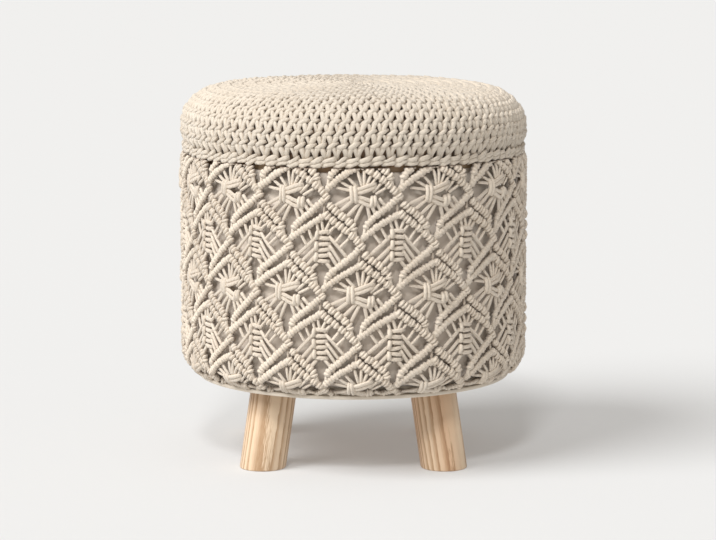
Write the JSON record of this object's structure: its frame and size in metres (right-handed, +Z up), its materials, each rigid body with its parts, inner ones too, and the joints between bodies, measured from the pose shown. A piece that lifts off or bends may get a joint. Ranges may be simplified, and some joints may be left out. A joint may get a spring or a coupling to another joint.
{
  "type": "macrame storage pouf",
  "caption": "Round storage pouf on splayed wooden legs: a calico drum in an open knotted cotton sleeve, closed by a padded lift-off lid with a crocheted cover.",
  "frame": {"origin": "on the floor, under the middle of the drum", "axes": "+Z up; -Y towards the front that the picture shows, +X to the right of it"},
  "size_m": [0.3836, 0.3836, 0.402],
  "materials": {
    "calico": "plain off-white woven cotton",
    "cotton_cord": "matte twisted cotton cord",
    "crochet_cord": "matte soft cotton cord",
    "binding_tape": "flat cotton tape",
    "pine": "clear satin lacquer on pine",
    "plywood": "bare sanded plywood"
  },
  "bodies": {
    "drum": {"drum_wall": "calico", "base_board": "plywood", "leg_front_right": "pine", "leg_back_right": "pine", "leg_back_left": "pine", "leg_front_left": "pine", "hem_band": "binding_tape", "macrame_sleeve": "cotton_cord"},
    "lid": {"lid_board": "plywood", "lid_cover": "crochet_cord"}
  },
  "joints": [
    {"name": "lid_lift", "type": "slide", "parent": "drum", "child": "lid", "axis": [0, 0, 1], "range_m": [0, 0.15]}
  ]
}
